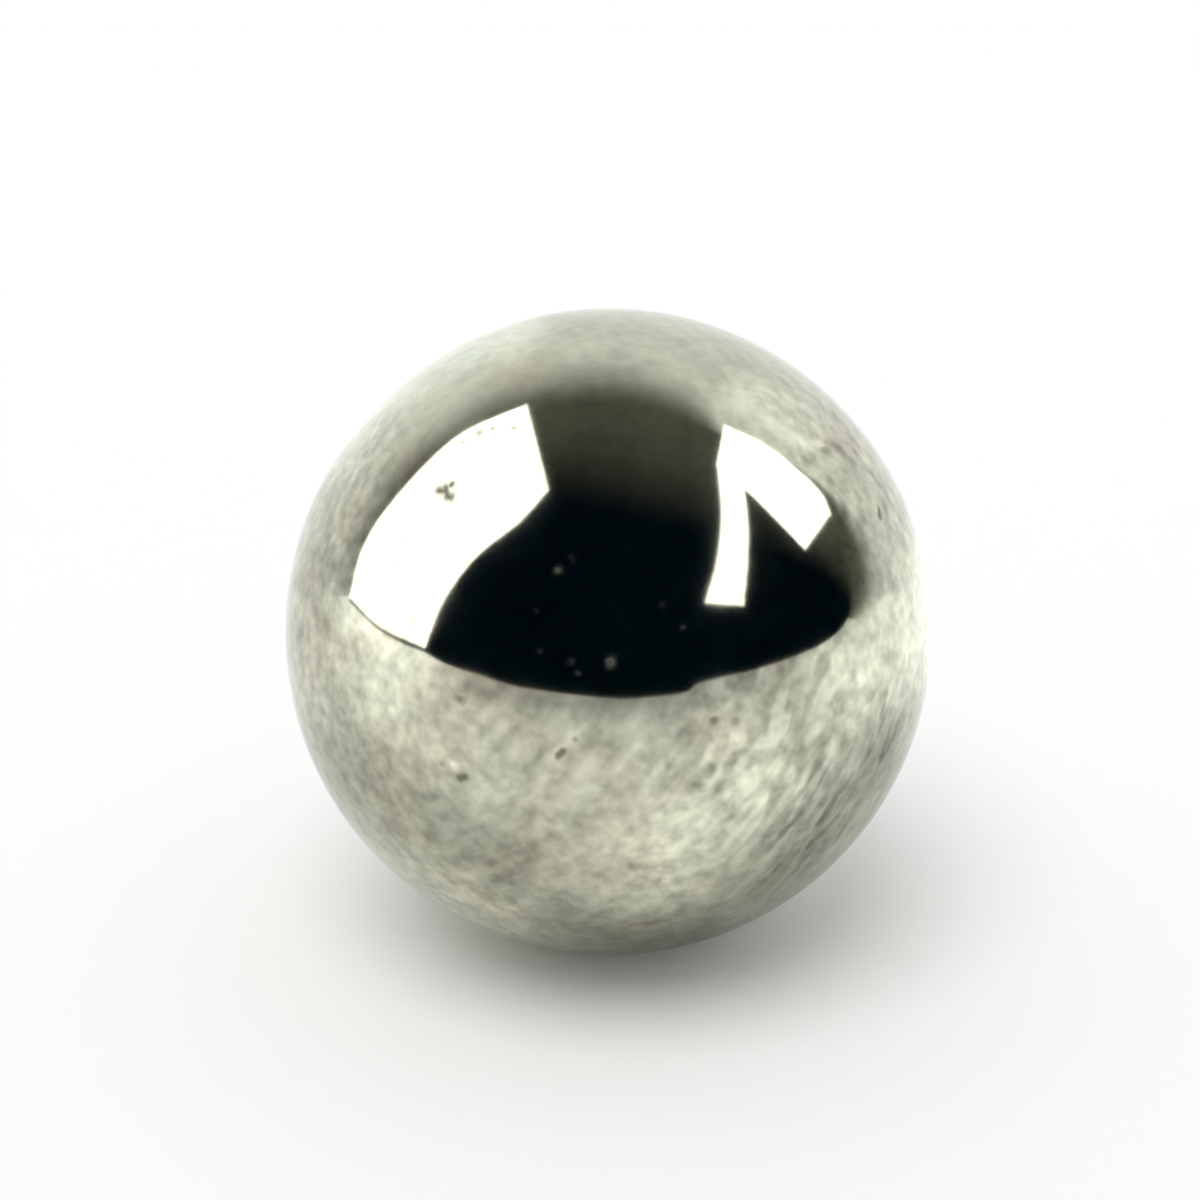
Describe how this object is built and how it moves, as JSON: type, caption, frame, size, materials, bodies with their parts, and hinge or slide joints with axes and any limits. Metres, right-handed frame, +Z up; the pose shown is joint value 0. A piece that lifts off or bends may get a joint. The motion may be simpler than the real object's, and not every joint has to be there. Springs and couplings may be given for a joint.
{
  "type": "steel ball",
  "caption": "Solid polished steel ball, a true sphere that rolls on a track or sits in a cup, cone or ring as a bearing, detent or weight.",
  "frame": {"origin": "centre of the ball", "axes": "+Z up, and the ball is the same about every axis; in the picture's view the camera looks along +Y and down"},
  "size_m": [0.0254, 0.0254, 0.0254],
  "materials": {
    "steel": "polished"
  },
  "bodies": {
    "root": {"ball": "steel"}
  },
  "joints": []
}
